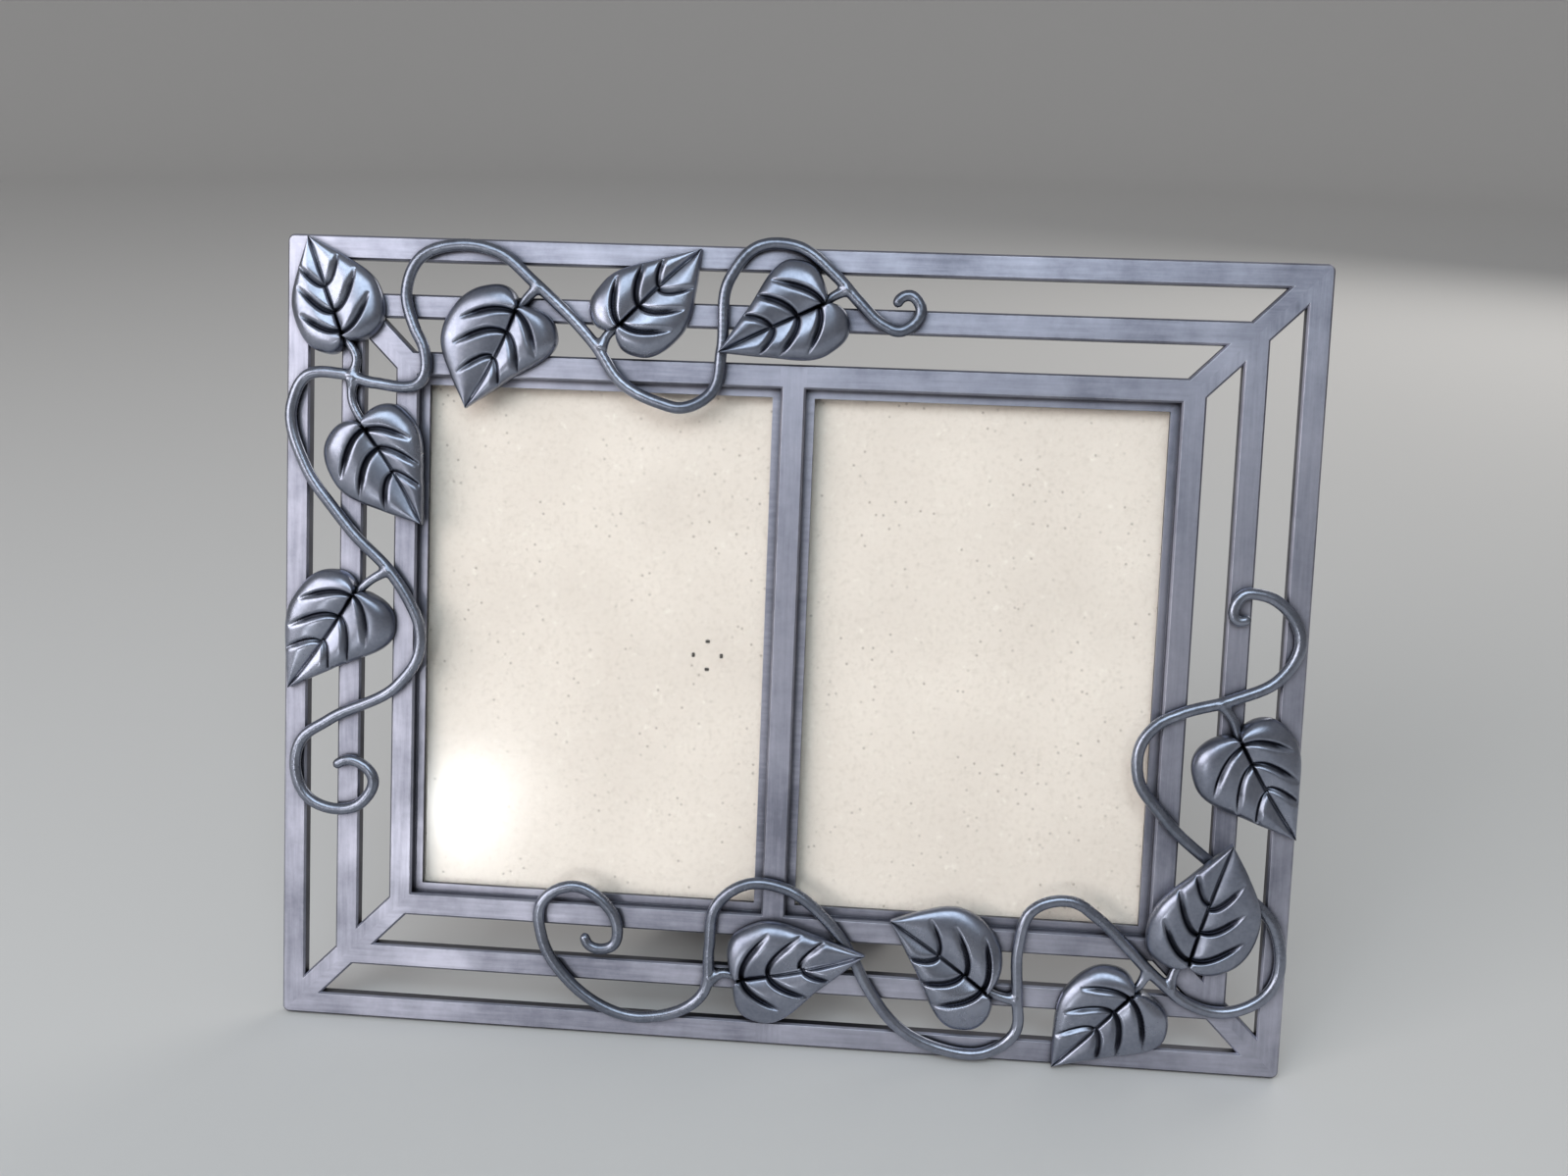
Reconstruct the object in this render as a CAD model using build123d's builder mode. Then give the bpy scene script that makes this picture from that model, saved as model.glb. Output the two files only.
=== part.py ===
"""Double photo frame for two upright prints, standing on a table with its easel strut open.

An openwork casting of three nested bars carries two windows side by side. Two vine castings
and eleven leaf castings are soldered on its face. Behind the windows lie two glass panes and
one covered back board, kept in by four turn buttons, and a strut hinged to the board props
the frame up. All lengths are in millimetres. X runs along the width, Y from front to back
and Z up from the table.
"""

import os
from math import atan2, copysign, cos, hypot, pi, radians, sin, sqrt, tan

from build123d import *

# Overall size and stance
frame_width = 250.0
frame_height = 196.0
lean_angle = 14.0
strut_angle = 30.0

# Front casting
bar_width = 5.8
bar_depth = 3.1
slot_width = 7.9
corner_bar_width = 6.2
corner_radius = 1.75
edge_break = 0.5
mullion_width = 6.0
ledge_width = 2.1
ledge_drop = 2.5
ledge_thickness = 1.5
rim_wall = 2.5
boss_radius = 2.6

# Panes, back board and the room left for prints
glass_thickness = 2.0
pocket_margin = 0.4
pane_clearance = 0.25
print_gap = 0.3
board_thickness = 2.4
covering_thickness = 0.4
board_clearance = 0.3

# Turn buttons and their screws
button_width = 5.2
button_thickness = 0.8
button_corner = 1.2
button_overlap = 5.5
button_gap = 0.3
button_seat_gap = 0.1
screw_radius = 0.9
screw_fit = 0.02
screw_running_fit = 0.05
screw_head_radius = 2.2
screw_head_height = 1.3
screw_head_gap = 0.1
screw_slot_width = 0.6
screw_slot_depth = 0.6
thread_depth = 5.0
screw_tip_gap = 0.5

# Easel hinge
hinge_height = 88.0
hinge_leaf_width = 50.0
hinge_leaf_reach = 15.0
hinge_leaf_thickness = 0.7
hinge_leaf_corner = 2.0
knuckle_radius = 1.7
pin_radius = 1.0
pin_fit = 0.03
knuckle_running_fit = 0.05
moving_knuckle_length = 22.0
knuckle_end_gap = 0.3
knuckle_side_gap = 0.3
pin_overhang = 0.4
heel_reach = 5.5
heel_gap = 0.1
heel_inset = 1.0
notch_gap = 0.6

# Prongs lanced out of the hinge leaves
back_prong_spacing = 38.6
strut_prong_spacing = 24.0
prong_height = 8.5
prong_circle_radius = 3.5
prong_root_width = 4.6
prong_tip_width = 1.0
prong_proud = 0.1
prong_hidden = 0.5

# Easel strut
strut_thickness = 2.8
strut_top_width = 42.0
strut_foot_width = 62.0
strut_top_gap = 0.9
strut_fold_gap = 0.6
strut_toe = 8.0
strut_leaf_width = 36.0
strut_leaf_reach = 14.0
strut_prong_drop = 9.5
strut_prong_depth = 2.3

# Vine castings
vine_width = 2.6
vine_height = 2.5
stalk_width = 2.1
stalk_height = 2.0
straight_below = radians(0.5)

# Leaf castings
leaf_wall = 1.1
leaf_height = 3.3
leaf_facets = 10
facet_crowding = 1.2
leaf_seat_gap = 0.05
vein_width = 1.0
vein_depth = 1.2
overrun = 1.0

# Places along the vines, as shares of the frame's width from its middle and of its height
upper_left_vine_shares = [
    (0.095, 0.932), (0.098, 0.942), (0.107, 0.947), (0.118, 0.934), (0.099, 0.904),
    (0.083, 0.911), (0.060, 0.937), (0.037, 0.967), (-0.001, 1.005), (-0.039, 1.002),
    (-0.064, 0.961), (-0.070, 0.873), (-0.078, 0.823), (-0.110, 0.802), (-0.128, 0.807),
    (-0.166, 0.830), (-0.192, 0.874), (-0.253, 0.948), (-0.290, 0.984), (-0.330, 0.991),
    (-0.366, 0.974), (-0.379, 0.933), (-0.370, 0.887), (-0.361, 0.864), (-0.362, 0.826),
    (-0.410, 0.819), (-0.444, 0.829), (-0.478, 0.825), (-0.492, 0.791), (-0.478, 0.712),
    (-0.447, 0.657), (-0.429, 0.630), (-0.393, 0.586), (-0.370, 0.543), (-0.362, 0.520),
    (-0.362, 0.479), (-0.381, 0.442), (-0.452, 0.391), (-0.481, 0.362), (-0.472, 0.288),
    (-0.416, 0.288), (-0.406, 0.317), (-0.434, 0.340), (-0.447, 0.331),
]
lower_right_vine_shares = [
    (-0.189, 0.133), (-0.184, 0.119), (-0.160, 0.118), (-0.157, 0.154), (-0.167, 0.172),
    (-0.202, 0.193), (-0.232, 0.169), (-0.231, 0.125), (-0.207, 0.075), (-0.124, 0.028),
    (-0.066, 0.066), (-0.062, 0.125), (-0.057, 0.178), (-0.027, 0.209), (0.012, 0.206),
    (0.051, 0.172), (0.082, 0.120), (0.095, 0.089), (0.134, 0.032), (0.166, 0.014),
    (0.218, 0.013), (0.243, 0.040), (0.243, 0.089), (0.242, 0.151), (0.253, 0.197),
    (0.297, 0.210), (0.314, 0.196), (0.379, 0.119), (0.406, 0.093), (0.440, 0.083),
    (0.486, 0.116), (0.485, 0.194), (0.447, 0.243), (0.372, 0.327), (0.347, 0.373),
    (0.349, 0.417), (0.363, 0.440), (0.385, 0.455), (0.433, 0.475), (0.474, 0.503),
    (0.491, 0.547), (0.452, 0.604), (0.435, 0.603), (0.430, 0.572), (0.444, 0.574),
]

# Leaves, in the same shares and in shares of each leaf's own length, as make_leaf describes them
upper_left_leaf_shares = {
    "leaf_top_left_corner": ((-0.440, 0.876), (-0.477, 0.997), (0.40, 0.48), (0.40, 0.34), (0.13, 0.10), None),
    "leaf_top_left_inner": ((-0.269, 0.914), (-0.319, 0.792), (0.42, 0.51), (0.02, 0.54), (0.09, 0.14), None),
    "leaf_top_middle": ((-0.169, 0.899), (-0.092, 0.995), (0.39, 0.43), (0.16, 0.35), (0.16, 0.13), None),
    "leaf_top_right": ((0.026, 0.932), (-0.073, 0.870), (0.40, 0.46), (0.12, 0.07), (0.15, 0.08), 0.90),
    "leaf_left_upper": ((-0.419, 0.765), (-0.360, 0.645), (0.40, 0.50), (0.18, 0.31), (0.10, 0.13), None),
    "leaf_left_lower": ((-0.426, 0.554), (-0.494, 0.430), (0.44, 0.41), (0.05, 0.39), (0.09, 0.10), None),
}
lower_right_leaf_shares = {
    "leaf_bottom_left": ((-0.031, 0.088), (0.094, 0.132), (0.39, 0.37), (0.23, 0.07), (0.05, 0.07), 0.82),
    "leaf_bottom_middle": ((0.213, 0.091), (0.116, 0.174), (0.42, 0.44), (0.00, 0.59), (0.14, 0.02), None),
    "leaf_bottom_right": ((0.354, 0.101), (0.280, 0.000), (0.50, 0.43), (0.06, 0.42), (0.10, 0.10), None),
    "leaf_right_corner": ((0.405, 0.148), (0.437, 0.304), (0.38, 0.41), (0.21, 0.47), (0.09, 0.07), 0.48),
    "leaf_right_upper": ((0.440, 0.425), (0.499, 0.306), (0.42, 0.52), (0.20, 0.18), (0.10, 0.12), None),
}

# Each leaf's stalk: where it leaves the vine and a place on its way to the notch, as the same shares
stalk_shares = {
    "leaf_top_left_corner": ((-0.432, 0.826), (-0.428, 0.847)),
    "leaf_top_left_inner": ((-0.249, 0.944), (-0.261, 0.928)),
    "leaf_top_middle": ((-0.187, 0.873), (-0.180, 0.889)),
    "leaf_top_right": ((0.049, 0.952), (0.033, 0.941)),
    "leaf_left_upper": ((-0.432, 0.822), (-0.432, 0.797)),
    "leaf_left_lower": ((-0.393, 0.586), (-0.412, 0.571)),
    "leaf_bottom_left": ((-0.060, 0.083), (-0.048, 0.092)),
    "leaf_bottom_middle": ((0.243, 0.082), (0.230, 0.084)),
    "leaf_bottom_right": ((0.368, 0.132), (0.361, 0.112)),
    "leaf_right_corner": ((0.389, 0.110), (0.396, 0.138)),
    "leaf_right_upper": ((0.420, 0.470), (0.434, 0.448)),
}

# Half outline of a leaf, as shares of its lobe's depth, then of the way to its widest place and on to
# its tip, each with a share of its half width
hollow_shares = (0.68, 0.10)
lobe_share = 0.32
shoulder_shares = (0.16, 0.76)
flank_shares = (0.60, 0.50)
neck_shares = (0.82, 0.23)

# Sections through a leaf's half: height as a share of the dome, size as a share of the outline
dome_shares = [(0.62, 0.86), (1.0, 0.56)]
dome_centre_shares = (0.32, 0.46)

# Side veins: where each leaves the midrib, where it ends along it and how far out, as shares
vein_shares = [(0.03, 0.27, 0.80), (0.27, 0.55, 0.60), (0.52, 0.70, 0.32)]

# Values worked out from the sizes above
lean = radians(lean_angle)
border = 3 * bar_width + 2 * slot_width
half_width = frame_width / 2
half_height = frame_height / 2
window_width = half_width - border - mullion_width / 2
window_height = frame_height - 2 * border
window_centre = (mullion_width + window_width) / 2
pocket_width = window_width + 2 * pocket_margin
pocket_height = window_height + 2 * pocket_margin
board_pocket_width = 2 * (window_centre + pocket_width / 2)
glass_front = ledge_drop + ledge_thickness
glass_rear = glass_front + glass_thickness
board_front = glass_rear + print_gap
board_rear = board_front + board_thickness
covering_rear = board_rear + covering_thickness
rim_rear = covering_rear + button_gap
bar_centre = border - bar_width / 2

# The plane of the front face, its origin at the middle of the face, X along the width and Y up
face = Plane(origin=(0, 0, 0), x_dir=(1, 0, 0), z_dir=(0, -cos(lean), sin(lean)))
upward = Axis(face.origin, face.y_dir)
forward = Axis(face.origin, face.z_dir)
floor_height = -half_height * cos(lean) - bar_depth * sin(lean)

# The hinge line, and the plane of the open strut: X across, Y down the strut and Z to the rear
hinge_y = hinge_height - half_height
hinge_axis = face.from_local_coords((0, hinge_y, -(covering_rear + knuckle_side_gap + knuckle_radius)))
opening = radians(strut_angle)
strut_plane = Plane(
    origin=hinge_axis,
    x_dir=face.x_dir,
    z_dir=face.y_dir * sin(opening) - face.z_dir * cos(opening),
)
strut_front = strut_fold_gap - knuckle_side_gap - knuckle_radius
strut_rear = strut_front + strut_thickness
strut_reach = (hinge_axis.Z - floor_height) / cos(opening - lean)
prong_hole = 2 * prong_circle_radius - hinge_leaf_thickness

os.makedirs("parts", exist_ok=True)
pieces = {}


def finish(piece, label):
    """Names a finished piece and keeps it for export."""
    piece.part.label = label
    pieces[label] = piece.part


def slot_outlines(ring):
    """Outlines of the top and left slots of one ring, mitred along the corner bars."""
    outer = bar_width + ring * (bar_width + slot_width)
    inner = outer + slot_width
    mitre = corner_bar_width / 2 * sqrt(2)
    top = [
        (-half_width + outer + mitre, half_height - outer),
        (half_width - outer - mitre, half_height - outer),
        (half_width - inner - mitre, half_height - inner),
        (-half_width + inner + mitre, half_height - inner),
    ]
    left = [
        (-half_width + outer, half_height - outer - mitre),
        (-half_width + inner, half_height - inner - mitre),
        (-half_width + inner, -half_height + inner + mitre),
        (-half_width + outer, -half_height + outer + mitre),
    ]
    return top, left


def button_pivots():
    """Pivot of each turn button, on the face plane."""
    rail = half_height - bar_centre
    return {
        "top_left": (-window_centre, rail),
        "top_right": (window_centre, rail),
        "bottom_left": (-window_centre, -rail),
        "bottom_right": (window_centre, -rail),
    }


def make_casting():
    """Three nested bars, corner bars, mullion, ledges, rim and button bosses in one casting."""
    windows = [(-window_centre, 0), (window_centre, 0)]
    pivots = button_pivots().values()
    with BuildPart() as casting:
        with BuildSketch(face):
            RectangleRounded(frame_width, frame_height, corner_radius)
            for ring in range(2):
                for outline in slot_outlines(ring):
                    Polygon(*outline, align=None, mode=Mode.SUBTRACT)
                    Polygon(*[(-x, -y) for x, y in outline], align=None, mode=Mode.SUBTRACT)
        extrude(amount=-bar_depth)
        with BuildSketch(face.offset(-bar_depth)):
            Rectangle(board_pocket_width + 2 * rim_wall, pocket_height + 2 * rim_wall)
            with Locations(*pivots):
                Circle(boss_radius)
        extrude(amount=bar_depth - rim_rear)
        with BuildSketch(face):
            with Locations(*windows):
                Rectangle(window_width, window_height)
        extrude(amount=-ledge_drop, mode=Mode.SUBTRACT)
        with BuildSketch(face.offset(-ledge_drop)):
            with Locations(*windows):
                Rectangle(window_width - 2 * ledge_width, window_height - 2 * ledge_width)
        extrude(amount=-ledge_thickness, mode=Mode.SUBTRACT)
        with BuildSketch(face.offset(-glass_front)):
            with Locations(*windows):
                Rectangle(pocket_width, pocket_height)
        extrude(amount=-glass_thickness, mode=Mode.SUBTRACT)
        with BuildSketch(face.offset(-glass_rear)):
            Rectangle(board_pocket_width, pocket_height)
        extrude(amount=glass_rear - rim_rear, mode=Mode.SUBTRACT)
        with BuildSketch(face.offset(-rim_rear)):
            with Locations(*pivots):
                Circle(screw_radius + screw_fit)
        extrude(amount=thread_depth + screw_tip_gap, mode=Mode.SUBTRACT)
        chamfer(casting.faces().group_by(forward)[-1].edges(), length=edge_break)
    return casting


def on_face(point_shares):
    """Turns shares of the frame's width and height into a point on the face plane."""
    return (point_shares[0] * frame_width, (point_shares[1] - 0.5) * frame_height)


def bulge_point(start, end, direction):
    """Middle of the arc that leaves start along direction and ends at end, or None if straight."""
    run = (end[0] - start[0], end[1] - start[1])
    turn = atan2(direction[1], direction[0]) - atan2(run[1], run[0])
    turn = (turn + pi) % (2 * pi) - pi
    if abs(turn) < straight_below:
        return None
    rise = tan(turn / 2) / 2
    return (
        (start[0] + end[0]) / 2 - run[1] * rise,
        (start[1] + end[1]) / 2 + run[0] * rise,
    )


def tangents(points):
    """Unit direction at each point: that of the circle through it and its two neighbours."""
    runs = [(b[0] - a[0], b[1] - a[1]) for a, b in zip(points, points[1:])]
    lengths = [hypot(*run) for run in runs]
    units = [(run[0] / length, run[1] / length) for run, length in zip(runs, lengths)]
    found = []
    for before, after, near, far in zip(units, units[1:], lengths, lengths[1:]):
        x = before[0] * far + after[0] * near
        y = before[1] * far + after[1] * near
        found.append((x / hypot(x, y), y / hypot(x, y)))
    return [units[0]] + found + [units[-1]]


def biarc(start, end, leave, arrive):
    """Joint of the two tangent arcs from start to end, and the direction of travel there."""
    run = (end[0] - start[0], end[1] - start[1])
    both = (leave[0] + arrive[0], leave[1] + arrive[1])
    along = run[0] * both[0] + run[1] * both[1]
    square = run[0] ** 2 + run[1] ** 2
    spread = 2 * (1 - leave[0] * arrive[0] - leave[1] * arrive[1])
    reach = square / (along + sqrt(along**2 + spread * square))
    first = (start[0] + reach * leave[0], start[1] + reach * leave[1])
    second = (end[0] - reach * arrive[0], end[1] - reach * arrive[1])
    joint = ((first[0] + second[0]) / 2, (first[1] + second[1]) / 2)
    return joint, (second[0] - first[0], second[1] - first[1])


def smooth_line(points):
    """Draws two tangent arcs between each pair of points, in the line being built."""
    directions = tangents(points)
    for start, end, leave, arrive in zip(points, points[1:], directions, directions[1:]):
        joint, onward = biarc(start, end, leave, arrive)
        for a, b, direction in ((start, joint, leave), (joint, end, onward)):
            middle = bulge_point(a, b, direction)
            if middle is None:
                Line(a, b)
            else:
                ThreePointArc(a, middle, b)


def rib_section(width, height):
    """Section of a stem or stalk: flat on the bars, its sides drafted in to a ridge."""
    return [(0, -width / 2), (0, width / 2), (height, 0)]


def make_vine(shares, leaves):
    """One stem with its curled ends, and the stalks that run from it to its leaves."""
    points = [on_face(place) for place in shares]
    with BuildPart() as vine:
        with BuildLine(face) as stem:
            smooth_line(points)
        with BuildSketch(Plane(stem.line @ 0, x_dir=face.z_dir, z_dir=stem.line % 0)):
            Polygon(*rib_section(vine_width, vine_height), align=None)
        sweep(path=stem.line)
        for leaf, (notch, *_) in leaves.items():
            leave, way = stalk_shares[leaf]
            with BuildLine(face) as stalk:
                ThreePointArc(on_face(leave), on_face(way), on_face(notch))
            with BuildSketch(Plane(stalk.line @ 0, x_dir=face.z_dir, z_dir=stalk.line % 0)):
                Polygon(*rib_section(stalk_width, stalk_height), align=None)
            sweep(path=stalk.line)
    return vine


def half_outline(length, reach, widest, back):
    """Points of a leaf's outline on one side of its midrib, from the notch to the tip."""
    to_widest = widest + back
    to_tip = 1 - widest
    places = [
        (0, 0),
        (-hollow_shares[0] * back, hollow_shares[1]),
        (-back, lobe_share),
        (-back + shoulder_shares[0] * to_widest, shoulder_shares[1]),
        (widest, 1),
        (widest + flank_shares[0] * to_tip, flank_shares[1]),
        (widest + neck_shares[0] * to_tip, neck_shares[1]),
        (1, 0),
    ]
    return [(along * length, out * reach) for along, out in places]


def stacked_solid(rings):
    """Solid with flat facets between closed rings of corners, from its bottom ring to its top ring."""
    facets = [rings[0], rings[-1]]
    for low, high in zip(rings, rings[1:]):
        corners = list(zip(low, high))
        for (a, above_a), (b, above_b) in zip(corners, corners[1:] + corners[:1]):
            facets.append([a, b, above_b, above_a])
    return Solid(Shell([Face(Wire.make_polygon(facet)) for facet in facets]))


def leaf_half(level, length, reach, widest, back):
    """One domed half of a leaf, its side veins cut into the dome."""
    curve = Edge.make_spline([Vector(*place) for place in half_outline(length, reach, widest, back)])
    steps = [(step / leaf_facets) ** facet_crowding for step in range(leaf_facets + 1)]
    outline = [curve.position_at(step) for step in steps]
    centre = Vector(dome_centre_shares[0] * length, dome_centre_shares[1] * reach)
    dome = leaf_height - leaf_wall
    sections = [(0, 1), (leaf_wall, 1)]
    sections += [(leaf_wall + height * dome, size) for height, size in dome_shares]
    rings = [
        [level.from_local_coords(centre + (place - centre) * size + Vector(0, 0, height)) for place in outline]
        for height, size in sections
    ]
    with BuildPart() as half:
        add(stacked_solid(rings))
        with BuildSketch(level.offset(leaf_height)):
            for start, end, out in vein_shares:
                Polygon(
                    (start * length - vein_width / 2, 0),
                    (start * length + vein_width / 2, 0),
                    (end * length, out * reach),
                    align=None,
                )
        extrude(amount=-vein_depth, mode=Mode.SUBTRACT)
    return half


def make_leaf(notch_shares, tip_shares, reach_shares, widest_shares, back_shares, crossing_share, vine):
    """Two domed halves meeting in the midrib groove, hollowed where a vine or stalk runs under.

    For its left and right half, as shares of its length, a leaf has its half width, the place of
    its widest point and how far its lobe reaches back past the notch. A leaf that its vine crosses
    is tipped up, so that it lies on the bars and on that vine, at the crossing share of its length.
    """
    notch = on_face(notch_shares)
    tip = on_face(tip_shares)
    run = (tip[0] - notch[0], tip[1] - notch[1])
    length = hypot(*run)
    back = max(back_shares) * length
    rise = 0
    if crossing_share is not None:
        rise = (vine_height + leaf_seat_gap) / (crossing_share * length + back)
    along = face.x_dir * (run[0] / length) + face.y_dir * (run[1] / length)
    level = Plane(
        origin=face.from_local_coords((notch[0], notch[1], back * rise)),
        x_dir=along + face.z_dir * rise,
        z_dir=face.z_dir - along * rise,
    )
    left = leaf_half(level, length, reach_shares[0] * length, widest_shares[0], back_shares[0])
    right = leaf_half(level, length, -reach_shares[1] * length, widest_shares[1], back_shares[1])
    with BuildPart() as leaf:
        add(left.part)
        add(right.part)
        add(vine.part, mode=Mode.SUBTRACT)
    return leaf


def make_pane(side):
    """One glass pane, lying in the pocket behind its window."""
    with BuildPart() as pane:
        with BuildSketch(face.offset(-glass_front)):
            with Locations((side * window_centre, 0)):
                Rectangle(pocket_width - 2 * pane_clearance, pocket_height - 2 * pane_clearance)
        extrude(amount=-glass_thickness)
    return pane


def make_prongs(root, spacing, reaches):
    """Four prongs around each of a hinge leaf's two holes, standing up from root to their reaches."""
    with BuildPart() as prongs:
        for place, reach in zip((-spacing / 2, spacing / 2), reaches):
            for turn in range(4):
                outward = root.x_dir.rotate(Axis(root.origin, root.z_dir), 90 * turn)
                middle = root.from_local_coords((place, 0, 0))
                wall = Plane(
                    origin=middle + outward * prong_hole / 2,
                    x_dir=root.z_dir.cross(outward),
                    z_dir=outward,
                )
                with BuildSketch(wall):
                    Polygon(
                        (-prong_root_width / 2, 0),
                        (prong_root_width / 2, 0),
                        (prong_tip_width / 2, reach),
                        (-prong_tip_width / 2, reach),
                        align=None,
                    )
                extrude(amount=hinge_leaf_thickness)
    return prongs


def back_prongs():
    """Prongs of the fixed leaf: the left ones just break the board's face, the right ones don't."""
    root = covering_rear + hinge_leaf_thickness
    middle = face.from_local_coords((0, hinge_y + prong_height, -root))
    reaches = (root - board_front + prong_proud, root - board_front - prong_hidden)
    return make_prongs(Plane(middle, x_dir=face.x_dir, z_dir=face.z_dir), back_prong_spacing, reaches)


def strut_prongs():
    """Prongs of the moving leaf, clinched inside the strut."""
    middle = strut_plane.from_local_coords((0, strut_prong_drop, strut_rear + hinge_leaf_thickness))
    reach = hinge_leaf_thickness + strut_prong_depth
    root = Plane(middle, x_dir=face.x_dir, z_dir=-strut_plane.z_dir)
    return make_prongs(root, strut_prong_spacing, (reach, reach))


def make_board_layer(front, thickness, prongs):
    """One layer of the back: a plate that fills the rim's pocket, pierced by the hinge's prongs."""
    with BuildPart() as layer:
        with BuildSketch(face.offset(-front)):
            Rectangle(board_pocket_width - 2 * board_clearance, pocket_height - 2 * board_clearance)
        extrude(amount=-thickness)
        add(prongs.part, mode=Mode.SUBTRACT)
    return layer


def hinge_bar(start, length, radius):
    """A round bar on the hinge line, from start to start + length across the width."""
    with BuildPart() as bar:
        with BuildSketch(Plane(hinge_axis + face.x_dir * start, x_dir=face.y_dir, z_dir=face.x_dir)):
            Circle(radius)
        extrude(amount=length)
    return bar.part


def make_fixed_leaf(prongs):
    """The hinge leaf on the back board, with its two outer knuckles."""
    notch_height = knuckle_radius + notch_gap
    notch_width = moving_knuckle_length + 2 * knuckle_end_gap
    outer_length = (hinge_leaf_width - notch_width) / 2
    knuckles = [
        hinge_bar(-hinge_leaf_width / 2, outer_length, knuckle_radius),
        hinge_bar(notch_width / 2, outer_length, knuckle_radius),
    ]
    bore = hinge_bar(-hinge_leaf_width / 2, hinge_leaf_width, pin_radius + pin_fit)
    with BuildPart() as leaf:
        with BuildSketch(face.offset(-covering_rear)) as plate:
            with Locations((0, hinge_y + hinge_leaf_reach / 2)):
                Rectangle(hinge_leaf_width, hinge_leaf_reach)
            chamfer(plate.vertices().group_by(upward)[-1], length=hinge_leaf_corner)
            with Locations((0, hinge_y + notch_height / 2)):
                Rectangle(notch_width, notch_height, mode=Mode.SUBTRACT)
            with Locations(
                (-back_prong_spacing / 2, hinge_y + prong_height),
                (back_prong_spacing / 2, hinge_y + prong_height),
            ):
                Rectangle(prong_hole, prong_hole, mode=Mode.SUBTRACT)
        extrude(amount=-hinge_leaf_thickness)
        add(knuckles)
        add(bore, mode=Mode.SUBTRACT)
        add(prongs.part)
    return leaf


def make_moving_leaf(prongs):
    """The hinge leaf on the strut, with the middle knuckle and the heel that stops it open."""
    plate_start = knuckle_radius + notch_gap
    heel_width = moving_knuckle_length - 2 * heel_inset
    knuckle = hinge_bar(-moving_knuckle_length / 2, moving_knuckle_length, knuckle_radius)
    bore = hinge_bar(-moving_knuckle_length / 2, moving_knuckle_length, pin_radius + knuckle_running_fit)
    with BuildPart() as leaf:
        with BuildSketch(strut_plane.offset(strut_rear)):
            with Locations((0, plate_start + strut_leaf_reach / 2)):
                RectangleRounded(strut_leaf_width, strut_leaf_reach, hinge_leaf_corner)
            with Locations((0, plate_start)):
                Rectangle(moving_knuckle_length, 2 * plate_start)
            with Locations(
                (-strut_prong_spacing / 2, strut_prong_drop),
                (strut_prong_spacing / 2, strut_prong_drop),
            ):
                Rectangle(prong_hole, prong_hole, mode=Mode.SUBTRACT)
        extrude(amount=hinge_leaf_thickness)
        with BuildSketch(face.offset(-(covering_rear + hinge_leaf_thickness + heel_gap))):
            with Locations((0, hinge_y + heel_reach / 2)):
                Rectangle(heel_width, heel_reach)
        extrude(amount=-hinge_leaf_thickness)
        add(knuckle)
        add(bore, mode=Mode.SUBTRACT)
        add(prongs.part)
    return leaf


def make_pin():
    """The hinge pin, a little longer than the knuckles."""
    length = hinge_leaf_width + 2 * pin_overhang
    with BuildPart() as pin:
        add(hinge_bar(-length / 2, length, pin_radius))
    return pin


def make_strut(prongs):
    """The strut: a board that widens to its foot, which is cut flat to the table."""
    start = knuckle_radius + notch_gap + strut_top_gap
    with BuildPart() as strut:
        with BuildSketch(strut_plane.offset(strut_front)):
            Polygon(
                (-strut_top_width / 2, start),
                (strut_top_width / 2, start),
                (strut_foot_width / 2, strut_reach - strut_toe),
                (strut_foot_width / 2, strut_reach + strut_thickness),
                (-strut_foot_width / 2, strut_reach + strut_thickness),
                (-strut_foot_width / 2, strut_reach - strut_toe),
                align=None,
            )
        extrude(amount=strut_thickness)
        split(bisect_by=Plane(origin=(0, 0, floor_height)), keep=Keep.TOP)
        add(prongs.part, mode=Mode.SUBTRACT)
    return strut


def make_button(pivot):
    """One turn button, its nose over the back board and its hole on the screw."""
    to_pocket = half_height - bar_centre - pocket_height / 2
    nose = to_pocket + button_overlap
    level = Plane(
        origin=face.from_local_coords((*pivot, -(rim_rear + button_seat_gap))),
        x_dir=face.y_dir * copysign(1, -pivot[1]),
        z_dir=-face.z_dir,
    )
    with BuildPart() as button:
        with BuildSketch(level) as plate:
            with Locations(((nose - button_width / 2) / 2, 0)):
                Rectangle(nose + button_width / 2, button_width)
            chamfer(plate.vertices(), length=button_corner)
            Circle(screw_radius + screw_running_fit, mode=Mode.SUBTRACT)
        extrude(amount=button_thickness)
    return button


def make_screws():
    """The four slotted screws that the turn buttons swivel on."""
    pivots = button_pivots().values()
    under_head = rim_rear + button_seat_gap + button_thickness + screw_head_gap
    with BuildPart() as screws:
        with BuildSketch(face.offset(thread_depth - rim_rear)):
            with Locations(*pivots):
                Circle(screw_radius)
        extrude(amount=-(under_head + thread_depth - rim_rear))
        with BuildSketch(face.offset(-under_head)):
            with Locations(*pivots):
                Circle(screw_head_radius)
        extrude(amount=-screw_head_height)
        with BuildSketch(face.offset(-(under_head + screw_head_height))):
            with Locations(*pivots):
                Rectangle(2 * screw_head_radius + overrun, screw_slot_width)
        extrude(amount=screw_slot_depth, mode=Mode.SUBTRACT)
    return screws


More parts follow.
